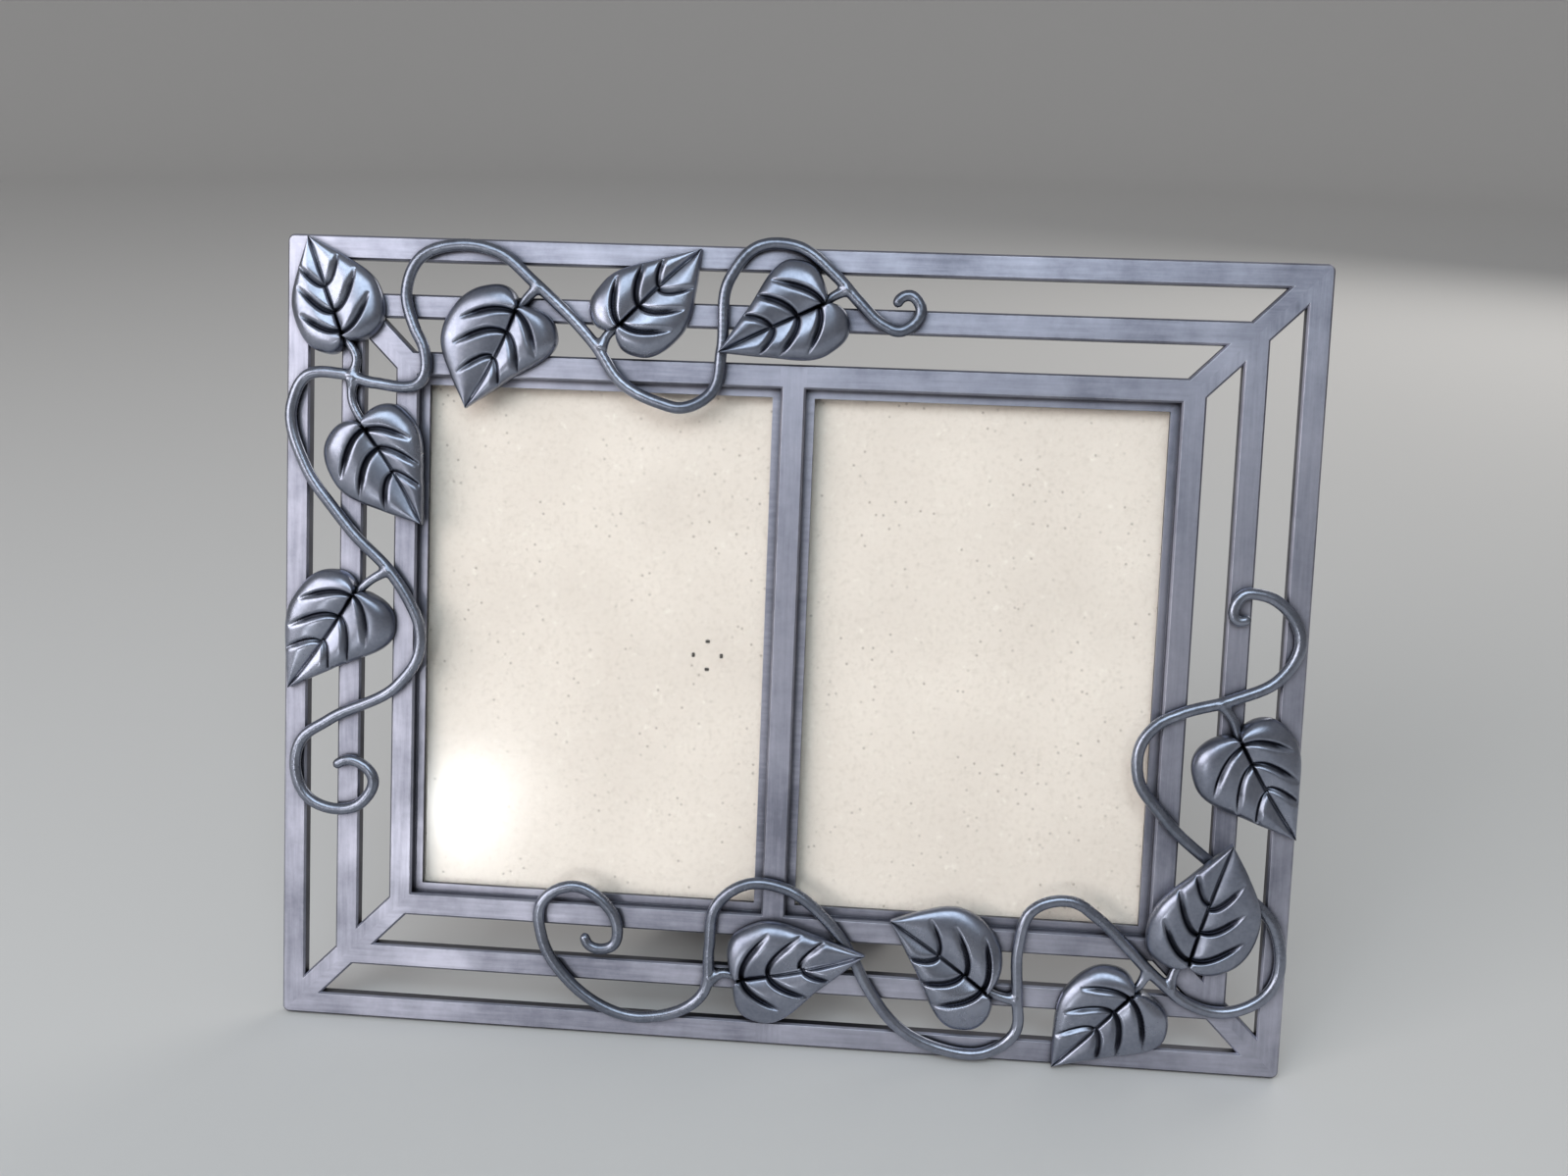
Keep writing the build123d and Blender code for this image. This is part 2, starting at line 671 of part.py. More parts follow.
finish(make_casting(), "frame_casting")
for side, shares, leaves in (
    ("vine_upper_left", upper_left_vine_shares, upper_left_leaf_shares),
    ("vine_lower_right", lower_right_vine_shares, lower_right_leaf_shares),
):
    vine = make_vine(shares, leaves)
    finish(vine, side)
    for label, places in leaves.items():
        finish(make_leaf(*places, vine), label)
finish(make_pane(-1), "glass_left")
finish(make_pane(1), "glass_right")
fixed_prongs = back_prongs()
finish(make_board_layer(board_front, board_thickness, fixed_prongs), "back_board")
finish(make_board_layer(board_rear, covering_thickness, fixed_prongs), "back_covering")
finish(make_fixed_leaf(fixed_prongs), "hinge_fixed_leaf")
moving_prongs = strut_prongs()
finish(make_moving_leaf(moving_prongs), "hinge_moving_leaf")
finish(make_pin(), "hinge_pin")
finish(make_strut(moving_prongs), "strut")
for label, pivot in button_pivots().items():
    finish(make_button(pivot), f"turn_button_{label}")
finish(make_screws(), "button_screws")

# The part's origin is the middle of its footprint on the table
extent = Compound(list(pieces.values())).bounding_box()
to_origin = Vector(-extent.center().X, -extent.center().Y, -floor_height)
for label, piece in pieces.items():
    placed = piece.moved(Location(to_origin))
    placed.label = label
    export_step(placed, f"parts/{label}.step")

print("floor to lowest point", extent.min.Z - floor_height)
print("face plane middle", face.origin + to_origin, "normal", face.z_dir, "up", face.y_dir)
print("hinge axis", hinge_axis + to_origin)
for label, pivot in button_pivots().items():
    print("pivot", label, face.from_local_coords((*pivot, -rim_rear)) + to_origin)
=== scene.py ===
"""Looks of the double photo frame: antiqued metal, sculpted leaves, vines, glass, board and back.

Lengths are in metres. A place on the panel is given by x across it and y up it, from the middle
of its front face, and by its height in front of that face.
"""

from math import ceil, cos, pi, radians, sin, tau

import bmesh
import bpy
import numpy as np
from mathutils import Matrix, Vector


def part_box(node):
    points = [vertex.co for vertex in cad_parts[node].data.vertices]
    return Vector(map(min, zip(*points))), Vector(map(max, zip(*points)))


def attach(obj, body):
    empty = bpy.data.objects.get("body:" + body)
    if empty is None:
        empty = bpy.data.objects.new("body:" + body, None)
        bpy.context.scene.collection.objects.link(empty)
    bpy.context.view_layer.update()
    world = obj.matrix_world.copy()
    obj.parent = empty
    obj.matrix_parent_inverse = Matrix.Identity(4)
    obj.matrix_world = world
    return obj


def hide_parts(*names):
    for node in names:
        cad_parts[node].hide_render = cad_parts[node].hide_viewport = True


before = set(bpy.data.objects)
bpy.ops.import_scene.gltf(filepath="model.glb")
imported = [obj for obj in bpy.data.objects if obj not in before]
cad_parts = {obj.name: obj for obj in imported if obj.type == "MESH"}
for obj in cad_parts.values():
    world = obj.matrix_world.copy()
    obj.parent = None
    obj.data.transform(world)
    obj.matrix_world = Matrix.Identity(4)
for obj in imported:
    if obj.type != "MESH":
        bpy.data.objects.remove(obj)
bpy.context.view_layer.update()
chance = np.random.default_rng(7)

mm = 0.001

# Panel and board
lean = radians(14)
board_depth = 6.3 * mm
face_width = 250 * mm
face_height = 196 * mm
bar_depth = 3.1 * mm
edge_break = 0.5 * mm

# Rounded edges: what counts as flat and as sharp, and how each edge is rounded
flat_angle = radians(1)
sharp_angle = radians(28)
edge_segments = 2
edge_profile = 0.5
merge_distance = 0.001 * mm
casting_edge = 0.22 * mm
strut_edge = 0.4 * mm
hinge_edge = 0.12 * mm
pin_edge = 0.2 * mm
button_edge = 0.2 * mm
screw_edge = 0.15 * mm

# Prong ends in the left window: their middle across and up from the panel's, and their circle
prong_spot = (-19.3 * mm, -1.5 * mm)
prong_circle = 3.5 * mm

# Vines and stalks
vine_radius = 1.5 * mm
vine_flat_share = 0.87
curl_tip_share = 0.88
curl_taper_length = 14 * mm
stalk_radius = 1.15 * mm
stalk_flare = 0.7 * mm
stalk_flare_length = 1.5 * mm
tube_sides = 14
tube_spacing = 0.6 * mm
tip_start_share = 0.02
vine_voxel = 0.32 * mm
fillet_factor = 0.5
fillet_passes = 5

# Leaves: heights and the dome of each half, from its midrib valley past its crest to its margin
leaf_wall = 1.0 * mm
leaf_height = 4.4 * mm
leaf_tip_height = 2.0 * mm
leaf_crest_share = 0.45
leaf_valley_share = 0.42
leaf_valley_power = 1.7
leaf_margin_power = 2.4
leaf_slope_power = 1.2
leaf_least_share = 0.45
leaf_margin = 1.2 * mm
leaf_seat_gap = 0.05 * mm
vine_height = 2.6 * mm

# Midrib: its groove, where that ends and fades, and where its dark core does
midrib_depth = 0.75 * mm
midrib_width = 0.32 * mm
midrib_bow_share = 0.025
midrib_end = 0.95
midrib_fade = 0.3
midrib_fade_power = 0.6
midrib_dark = 0.85
midrib_dark_loss = 1.2

# Gouged side veins
gouge_depth = 1.3 * mm
gouge_steep_width = 0.34 * mm
gouge_gentle_width = 0.9 * mm
gouge_core_width = 0.33 * mm
gouge_bend = 1.9
gouge_jitter_share = 0.025
gouge_away_jitter = 2
gouge_line_points = 90
gouge_end_width = 0.6
gouge_swell = 0.5
gouge_swell_power = 0.8
gouge_fade_rate = 3.5
gouge_fade_power = 0.8

# Grid over each half of a leaf, closer at its margin and midrib and towards its notch
outline_spacing = 0.1 * mm
leaf_steps_along = 150
leaf_steps_out = 56
rib_crowding = 1.15

# Places along the vines, as shares of the panel's width from its middle and of its height
upper_left_vine_shares = [
    (0.095, 0.932), (0.098, 0.942), (0.107, 0.947), (0.118, 0.934), (0.099, 0.904),
    (0.083, 0.911), (0.060, 0.937), (0.037, 0.967), (-0.001, 1.001), (-0.039, 0.999),
    (-0.064, 0.961), (-0.070, 0.873), (-0.078, 0.823), (-0.110, 0.802), (-0.128, 0.807),
    (-0.166, 0.830), (-0.192, 0.874), (-0.253, 0.948), (-0.290, 0.984), (-0.330, 0.991),
    (-0.366, 0.974), (-0.379, 0.933), (-0.370, 0.887), (-0.361, 0.864), (-0.362, 0.826),
    (-0.410, 0.819), (-0.444, 0.829), (-0.478, 0.825), (-0.492, 0.791), (-0.478, 0.712),
    (-0.447, 0.657), (-0.429, 0.630), (-0.393, 0.586), (-0.370, 0.543), (-0.362, 0.520),
    (-0.362, 0.479), (-0.381, 0.442), (-0.452, 0.391), (-0.481, 0.362), (-0.472, 0.288),
    (-0.416, 0.288), (-0.406, 0.317), (-0.434, 0.340), (-0.447, 0.331),
]
lower_right_vine_shares = [
    (-0.189, 0.133), (-0.184, 0.119), (-0.160, 0.118), (-0.157, 0.154), (-0.167, 0.172),
    (-0.202, 0.193), (-0.232, 0.169), (-0.231, 0.125), (-0.207, 0.075), (-0.124, 0.028),
    (-0.066, 0.066), (-0.062, 0.125), (-0.057, 0.178), (-0.027, 0.209), (0.012, 0.206),
    (0.051, 0.172), (0.082, 0.120), (0.095, 0.089), (0.134, 0.032), (0.166, 0.014),
    (0.218, 0.013), (0.243, 0.040), (0.243, 0.089), (0.242, 0.151), (0.253, 0.197),
    (0.297, 0.210), (0.314, 0.196), (0.379, 0.119), (0.406, 0.093), (0.440, 0.083),
    (0.486, 0.116), (0.485, 0.194), (0.447, 0.243), (0.372, 0.327), (0.347, 0.373),
    (0.349, 0.417), (0.363, 0.440), (0.385, 0.455), (0.433, 0.475), (0.474, 0.503),
    (0.491, 0.547), (0.452, 0.604), (0.435, 0.603), (0.430, 0.572), (0.444, 0.574),
]

# Leaves, in the same shares and in shares of each leaf's own length, as make_leaf describes them
upper_left_leaf_shares = {
    "leaf_top_left_corner": (
        (-0.440, 0.876), (-0.477, 0.997), (0.40, 0.48), (0.40, 0.34), (0.13, 0.10), None
    ),
    "leaf_top_left_inner": (
        (-0.269, 0.914), (-0.319, 0.792), (0.42, 0.51), (0.02, 0.54), (0.09, 0.14), None
    ),
    "leaf_top_middle": ((-0.169, 0.899), (-0.092, 0.995), (0.39, 0.43), (0.16, 0.35), (0.16, 0.13), None),
    "leaf_top_right": ((0.026, 0.932), (-0.073, 0.870), (0.40, 0.46), (0.12, 0.07), (0.15, 0.08), 0.90),
    "leaf_left_upper": ((-0.419, 0.765), (-0.360, 0.645), (0.40, 0.50), (0.18, 0.31), (0.10, 0.13), None),
    "leaf_left_lower": ((-0.426, 0.554), (-0.494, 0.430), (0.44, 0.41), (0.05, 0.39), (0.09, 0.10), None),
}
lower_right_leaf_shares = {
    "leaf_bottom_left": ((-0.031, 0.088), (0.094, 0.132), (0.39, 0.37), (0.23, 0.07), (0.05, 0.07), 0.82),
    "leaf_bottom_middle": (
        (0.213, 0.091), (0.116, 0.174), (0.42, 0.44), (0.00, 0.59), (0.14, 0.02), None
    ),
    "leaf_bottom_right": ((0.354, 0.101), (0.280, 0.000), (0.50, 0.43), (0.06, 0.42), (0.10, 0.10), None),
    "leaf_right_corner": ((0.405, 0.148), (0.437, 0.304), (0.38, 0.41), (0.21, 0.47), (0.09, 0.07), 0.48),
    "leaf_right_upper": ((0.440, 0.425), (0.499, 0.306), (0.42, 0.52), (0.20, 0.18), (0.10, 0.12), None),
}

# Each leaf's stalk: where it leaves the vine and a place on its way to the notch, as the same shares
stalk_shares = {
    "leaf_top_left_corner": ((-0.432, 0.826), (-0.428, 0.847)),
    "leaf_top_left_inner": ((-0.249, 0.944), (-0.261, 0.928)),
    "leaf_top_middle": ((-0.187, 0.873), (-0.180, 0.889)),
    "leaf_top_right": ((0.049, 0.952), (0.033, 0.941)),
    "leaf_left_upper": ((-0.432, 0.822), (-0.432, 0.797)),
    "leaf_left_lower": ((-0.393, 0.586), (-0.412, 0.571)),
    "leaf_bottom_left": ((-0.060, 0.083), (-0.048, 0.092)),
    "leaf_bottom_middle": ((0.243, 0.082), (0.230, 0.084)),
    "leaf_bottom_right": ((0.368, 0.132), (0.361, 0.112)),
    "leaf_right_corner": ((0.389, 0.110), (0.396, 0.138)),
    "leaf_right_upper": ((0.420, 0.470), (0.434, 0.448)),
}

# Half outline of a leaf, as shares of its lobe's depth, then of the way to its widest place and on to
# its tip, each with a share of its half width
hollow_shares = (0.68, 0.10)
lobe_share = 0.32
shoulder_shares = (0.16, 0.76)
flank_shares = (0.60, 0.50)
neck_shares = (0.82, 0.23)

# Each gouge: its start and end along the midrib, how far out it ends, and its depth, as shares
gouge_shares = [
    (0.02, 0.31, 0.84, 1.0),
    (0.24, 0.56, 0.70, 0.95),
    (0.48, 0.76, 0.48, 0.75),
]

# Bars: half the width of the mullion's zone, in which the brushing runs upward
mullion_zone = 3.2 * mm

across = Vector((1, 0, 0))
up = Vector((0, sin(lean), cos(lean)))
out = Vector((0, -cos(lean), sin(lean)))
casting_low, casting_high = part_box("frame_casting")
foot_edge = Vector((
    (casting_low.x + casting_high.x) / 2,
    casting_low.y - edge_break * sin(lean),
    bar_depth * sin(lean),
))
middle = foot_edge + up * face_height / 2
panel_axes = np.array([across, up, out])


def from_axes(across_by, up_by, out_by=0.0):
    """A vector that runs so far across the panel, up it and out of its face."""
    return across * across_by + up * up_by + out * out_by


def on_panel(places):
    """World points of an array of places: x across, y up and height in front of the panel."""
    return np.asarray(places) @ panel_axes + np.array(middle)


def from_shares(place):
    """A place given in shares of the panel, as x and y on it."""
    return np.array((place[0] * face_width, (place[1] - 0.5) * face_height))


def unit(vectors):
    """Vectors of length one in the same directions."""
    return vectors / np.linalg.norm(vectors, axis=-1, keepdims=True)


def smooth_path(points, spacing):
    """Closely spaced points on the smooth curve through the given points of the panel."""
    points = np.array(points)
    runs = np.diff(points, axis=0)
    lengths = np.linalg.norm(runs, axis=1)
    units = runs / lengths[:, None]
    inner = unit(units[:-1] * lengths[1:, None] + units[1:] * lengths[:-1, None])
    directions = np.vstack((units[:1], inner, units[-1:]))
    found = []
    for i, length in enumerate(lengths):
        t = np.linspace(0, 1, ceil(length / spacing), endpoint=False)[:, None]
        found.append(
            points[i] * (2 * t**3 - 3 * t**2 + 1)
            + points[i + 1] * (3 * t**2 - 2 * t**3)
            + directions[i] * length * (t**3 - 2 * t**2 + t)
            + directions[i + 1] * length * (t**3 - t**2)
        )
    return np.vstack(found + [points[-1:]])


def path_lengths(path):
    """Distance along a path to each of its points."""
    return np.concatenate(([0], np.cumsum(np.linalg.norm(np.diff(path, axis=0), axis=1))))


def add_tube(mesh, path, radii):
    """Adds a tube, a little flatter than round, that lies on the panel along a path, with closed ends."""
    directions = unit(np.gradient(path, axis=0))
    sides = np.column_stack((-directions[:, 1], directions[:, 0]))
    angles = np.arange(tube_sides) * tau / tube_sides
    rings = []
    for centre, side, radius in zip(path, sides, radii):
        flat = centre + np.outer(np.cos(angles) * radius, side)
        height = vine_flat_share * (vine_radius + np.sin(angles) * radius)
        points = on_panel(np.column_stack((flat, height)))
        rings.append([mesh.verts.new(point) for point in points])
    for low, high in zip(rings, rings[1:]):
        for k in range(tube_sides):
            mesh.faces.new((low[k - 1], low[k], high[k], high[k - 1]))
    mesh.faces.new(reversed(rings[0]))
    mesh.faces.new(rings[-1])


def vine_radii(lengths):
    """Radius along a vine, which narrows in the curl at each end and is rounded off there."""
    from_end = np.minimum(lengths, lengths[-1] - lengths)
    taper = curl_tip_share + (1 - curl_tip_share) * np.clip(from_end / curl_taper_length, 0, 1)
    ball = np.clip(from_end / (vine_radius * curl_tip_share), tip_start_share, 1)
    return vine_radius * taper * np.sqrt(1 - (1 - ball) ** 2)


def make_object(name, mesh_data, material, body, node):
    """Puts a mesh in the scene as the piece that stands for a CAD node."""
    piece = bpy.data.objects.new(name, mesh_data)
    bpy.context.scene.collection.objects.link(piece)
    piece.data.materials.append(material)
    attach(piece, body)
    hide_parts(node)
    return piece


def settle(piece):
    """Applies a piece's modifiers to its mesh and shades it smooth."""
    evaluated = piece.evaluated_get(bpy.context.evaluated_depsgraph_get())
    mesh_data = bpy.data.meshes.new_from_object(evaluated)
    piece.modifiers.clear()
    piece.data = mesh_data
    mesh_data.shade_smooth()


def make_vine(name, shares, leaves, material):
    """A vine and its stalks, melted into one casting whose joints are filleted."""
    mesh = bmesh.new()
    path = smooth_path([from_shares(place) for place in shares], tube_spacing)
    add_tube(mesh, path, vine_radii(path_lengths(path)))
    for leaf, (notch, *_) in leaves.items():
        places = (*stalk_shares[leaf], notch)
        path = smooth_path([from_shares(place) for place in places], tube_spacing)
        lengths = path_lengths(path)
        add_tube(mesh, path, stalk_radius + stalk_flare * np.exp(-lengths / stalk_flare_length))
    data = bpy.data.meshes.new(name)
    mesh.to_mesh(data)
    mesh.free()
    piece = make_object(name + "_cast", data, material, "panel", name)
    remesh = piece.modifiers.new("melt", "REMESH")
    remesh.mode = "VOXEL"
    remesh.voxel_size = vine_voxel
    smooth = piece.modifiers.new("fillet", "SMOOTH")
    smooth.factor = fillet_factor
    smooth.iterations = fillet_passes
    settle(piece)


def half_outline(length, reach, widest, back):
    """Points of a leaf's outline on one side of its midrib, from the notch to the tip."""
    to_widest = widest + back
    to_tip = 1 - widest
    places = [
        (0, 0),
        (-hollow_shares[0] * back, hollow_shares[1]),
        (-back, lobe_share),
        (-back + shoulder_shares[0] * to_widest, shoulder_shares[1]),
        (widest, 1),
        (widest + flank_shares[0] * to_tip, flank_shares[1]),
        (widest + neck_shares[0] * to_tip, neck_shares[1]),
        (1, 0),
    ]
    return [(along * length, out * reach) for along, out in places]


def even_steps(path, steps):
    """The same path in evenly spaced steps."""
    lengths = path_lengths(path)
    places = np.linspace(0, lengths[-1], steps + 1)
    return np.column_stack([np.interp(places, lengths, path[:, k]) for k in range(2)])


def gouge_cut(x, y, length, reach, gouge):
    """Depth and dark core of one gouged vein, steep towards the notch and gentle towards the tip."""
    start, end, away, depth = gouge
    t = np.linspace(0, 1, gouge_line_points)
    line_x = (start + (end - start) * t**gouge_bend) * length
    line_y = away * reach * t
    gap_x = x - line_x[:, None, None]
    gap_y = y - line_y[:, None, None]
    distance = np.hypot(gap_x, gap_y)
    nearest = distance.argmin(axis=0)
    near = distance.min(axis=0)
    run_x, run_y = np.gradient(line_x), np.gradient(line_y)
    turned = run_x[:, None, None] * gap_y - run_y[:, None, None] * gap_x
    to_tip = np.take_along_axis(turned, nearest[None], axis=0)[0] * reach < 0
    along = nearest / (len(t) - 1)
    swell = gouge_end_width + gouge_swell * np.sin(pi * along) ** gouge_swell_power
    width = np.where(to_tip, gouge_gentle_width, gouge_steep_width) * swell
    fade = np.clip((1 - along) * gouge_fade_rate, 0, 1) ** gouge_fade_power
    deep = gouge_depth * depth * fade * np.exp(-((near / width) ** 2))
    core = fade * depth * np.exp(-((near / (gouge_core_width * swell)) ** 2))
    return deep, core


def leaf_half_surface(length, reach, widest, back, bow, jitter):
    """Grid of places and heights over one half of a leaf, and how dark each point is."""
    curve = smooth_path(half_outline(length, reach, widest, back), outline_spacing)
    outline = even_steps(curve, leaf_steps_along)
    share = np.linspace(0, 1, leaf_steps_along + 1)
    rib = np.column_stack((length * share**rib_crowding, np.zeros_like(share)))
    r = np.linspace(0, 1, leaf_steps_out + 1)
    r = 0.5 - 0.5 * np.cos(pi * r)
    grid = rib[:, None, :] + (outline - rib)[:, None, :] * r[None, :, None]
    x, y = grid[..., 0], grid[..., 1]
    to_margin = np.linalg.norm(outline - rib, axis=1)[:, None] * (1 - r)[None, :]
    before_crest = np.clip(1 - r / leaf_crest_share, 0, 1)
    past_crest = np.clip((r - leaf_crest_share) / (1 - leaf_crest_share), 0, 1)
    valley = 1 - leaf_valley_share * before_crest**leaf_valley_power
    dome = valley * np.sqrt(1 - past_crest**leaf_margin_power)
    along = np.clip(x / length, 0, 1)
    body = leaf_height + (leaf_tip_height - leaf_height) * along**leaf_slope_power
    crown = leaf_wall + (body - leaf_wall) * dome[None, :]
    rib_fade = np.clip((midrib_end - along) / midrib_fade, 0, 1) ** midrib_fade_power
    beside_rib = (y - bow * np.sin(pi * along)) / midrib_width
    crease = rib_fade * np.exp(-(beside_rib**2))
    cut = midrib_depth * crease
    dark = crease * np.clip(midrib_dark - midrib_dark_loss * along, 0, 1)
    for (start, end, away, depth), shift in zip(gouge_shares, jitter):
        gouge = (start + shift[0], end + shift[1], away + gouge_away_jitter * shift[2], depth)
        deep, core = gouge_cut(x, y, length, reach, gouge)
        cut, dark = np.maximum(cut, deep), np.maximum(dark, core)
    inland = np.clip(to_margin / leaf_margin, 0, 1)
    height = np.maximum(crown - cut * inland, leaf_least_share * leaf_wall)
    return np.dstack((x, y, height)), dark * inland


def make_leaf(
    name, notch_shares, tip_shares, reach_shares, widest_shares, back_shares, crossing_share, material
):
    """A leaf casting with domed lobes between its gouged veins.

    For its left and right half, as shares of its length, a leaf has its half width, the place of
    its widest point and how far its lobe reaches back past the notch. A leaf that its vine crosses
    is tipped up, so that it lies on the bars and on that vine, at the crossing share of its length.
    """
    notch, tip = from_shares(notch_shares), from_shares(tip_shares)
    run = tip - notch
    length = np.linalg.norm(run)
    back = max(back_shares) * length
    rise = 0
    if crossing_share is not None:
        rise = (vine_height + leaf_seat_gap) / (crossing_share * length + back)
    along = np.array((*(run / length), rise))
    left = np.array((-run[1] / length, run[0] / length, 0))
    above = np.array((*(-rise * run / length), 1))
    axes = np.array([unit(along), left, unit(above)])
    origin = np.array((*notch, back * rise))
    mesh = bmesh.new()
    depth_layer = mesh.verts.layers.float.new("cut")
    rims = []
    bow = midrib_bow_share * length * chance.uniform(-1, 1)
    for side, reach, widest, lobe in zip((1, -1), reach_shares, widest_shares, back_shares):
        jitter = gouge_jitter_share * chance.uniform(-1, 1, (len(gouge_shares), 3))
        grid, cut = leaf_half_surface(length, side * reach * length, widest, lobe, bow, jitter)
        points = on_panel(grid @ axes + origin)
        verts = [[mesh.verts.new(point) for point in row] for row in points]
        for row, depths in zip(verts, cut):
            for vert, depth in zip(row, depths):
                vert[depth_layer] = depth
        for row, next_row in zip(verts, verts[1:]):
            for k in range(leaf_steps_out):
                corners = (row[k], next_row[k], next_row[k + 1], row[k + 1])
                mesh.faces.new(corners if side < 0 else corners[::-1])
        rims.append((verts, grid))
    foot = []
    for (verts, grid), side in zip(rims, (1, -1)):
        under = grid[:, -1].copy()
        under[:, 2] = 0
        base = [mesh.verts.new(point) for point in on_panel(under @ axes + origin)]
        for k in range(leaf_steps_along):
            corners = (verts[k][-1], verts[k + 1][-1], base[k + 1], base[k])
            mesh.faces.new(corners if side < 0 else corners[::-1])
        foot.append(base)
    mesh.faces.new(foot[0] + foot[1][::-1])
    bmesh.ops.remove_doubles(mesh, verts=mesh.verts, dist=merge_distance)
    bmesh.ops.recalc_face_normals(mesh, faces=mesh.faces)
    data = bpy.data.meshes.new(name)
    mesh.to_mesh(data)
    mesh.free()
    data.shade_smooth()
    make_object(name + "_cast", data, material, "panel", name)


def make_rounded(node, body, material, width):
    """A CAD node with its edges rounded, and those edges marked for wear."""
    mesh = bmesh.new()
    mesh.from_mesh(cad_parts[node].data)
    bmesh.ops.remove_doubles(mesh, verts=mesh.verts, dist=merge_distance)
    bmesh.ops.dissolve_limit(mesh, angle_limit=flat_angle, verts=mesh.verts, edges=mesh.edges)
    sharp = [edge for edge in mesh.edges if edge.is_manifold and edge.calc_face_angle(0) > sharp_angle]
    worn = mesh.faces.layers.float.new("worn")
    made = bmesh.ops.bevel(
        mesh,
        geom=sharp,
        offset=width,
        segments=edge_segments,
        profile=edge_profile,
        affect="EDGES",
        clamp_overlap=True,
    )
    for face in made["faces"]:
        face[worn] = 1
    data = bpy.data.meshes.new(node + "_rounded")
    mesh.to_mesh(data)
    mesh.free()
    data.shade_smooth()
    piece = make_object(node + "_rounded", data, material, body, node)
    weighted = piece.modifiers.new("facets", "WEIGHTED_NORMAL")
    weighted.keep_sharp = False


class Shader:
    """Short names for building a material's nodes."""

    def __init__(self, name):
        self.material = bpy.data.materials.new(name)
        self.material.use_nodes = True
        self.tree = self.material.node_tree
        self.surface = self.tree.nodes["Principled BSDF"]
        self.output = self.tree.nodes["Material Output"]
        self.place = self.tree.nodes.new("ShaderNodeTexCoord").outputs["Object"]

    def node(self, kind, **settings):
        made = self.tree.nodes.new("ShaderNode" + kind)
        for key, value in settings.items():
            setattr(made, key, value)
        return made

    def link(self, source, target):
        self.tree.links.new(source, target)

    def feed(self, socket, value):
        if isinstance(value, bpy.types.NodeSocket):
            self.link(value, socket)
        else:
            socket.default_value = value

    def noise(self, scale, detail=3.0, roughness=0.5, stretch=(1, 1, 1), turn=(0, 0, 0)):
        mapping = self.node("Mapping")
        mapping.inputs["Scale"].default_value = stretch
        mapping.inputs["Rotation"].default_value = turn
        self.link(self.place, mapping.inputs["Vector"])
        made = self.node("TexNoise")
        self.link(mapping.outputs["Vector"], made.inputs["Vector"])
        made.inputs["Scale"].default_value = scale
        made.inputs["Detail"].default_value = detail
        made.inputs["Roughness"].default_value = roughness
        return made.outputs["Fac"]

    def fit(self, value, low, high, to_low=0.0, to_high=1.0):
        made = self.node("MapRange")
        self.feed(made.inputs["Value"], value)
        ends = {"From Min": low, "From Max": high, "To Min": to_low, "To Max": to_high}
        for key, number in ends.items():
            made.inputs[key].default_value = number
        return made.outputs["Result"]

    def math(self, operation, a, b=0.0):
        made = self.node("Math", operation=operation)
        self.feed(made.inputs[0], a)
        self.feed(made.inputs[1], b)
        return made.outputs["Value"]

    def sum_of(self, *parts):
        """Sum of values, each with its weight."""
        total = None
        for value, weight in parts:
            weighted = self.math("MULTIPLY", value, weight)
            total = weighted if total is None else self.math("ADD", total, weighted)
        return total

    def blend(self, factor, a, b):
        made = self.node("Mix", data_type="RGBA")
        self.feed(made.inputs["Factor"], factor)
        self.feed(made.inputs["A"], a if isinstance(a, bpy.types.NodeSocket) else (*a, 1))
        self.feed(made.inputs["B"], b if isinstance(b, bpy.types.NodeSocket) else (*b, 1))
        return made.outputs["Result"]

    def distance_to(self, places):
        """Distance to the nearest of some world points."""
        nearest = None
        for place in places:
            gap = self.node("VectorMath", operation="DISTANCE")
            self.link(self.place, gap.inputs[0])
            gap.inputs[1].default_value = place
            found = gap.outputs["Value"]
            nearest = found if nearest is None else self.math("MINIMUM", nearest, found)
        return nearest

    def facing(self, direction):
        """How far a surface faces a direction, from -1 to 1."""
        made = self.node("VectorMath", operation="DOT_PRODUCT")
        self.link(self.node("NewGeometry").outputs["Normal"], made.inputs[0])
        made.inputs[1].default_value = direction
        return made.outputs["Value"]

    def attribute(self, name):
        return self.node("Attribute", attribute_name=name).outputs["Fac"]

    def open_share(self, distance):
        made = self.node("AmbientOcclusion", samples=6)
        made.inputs["Distance"].default_value = distance
        return made.outputs["AO"]

    def bump(self, height, distance, strength=1.0):
        made = self.node("Bump")
        made.inputs["Distance"].default_value = distance
        made.inputs["Strength"].default_value = strength
        self.feed(made.inputs["Height"], height)
        self.link(made.outputs["Normal"], self.surface.inputs["Normal"])


# Near-black colours of the real patina in the grooves and of the painted shade in creases, recesses and
# contacts
cast_patina_and_shade = (0.010, 0.011, 0.018)
bar_patina_and_shade = (0.012, 0.012, 0.018)


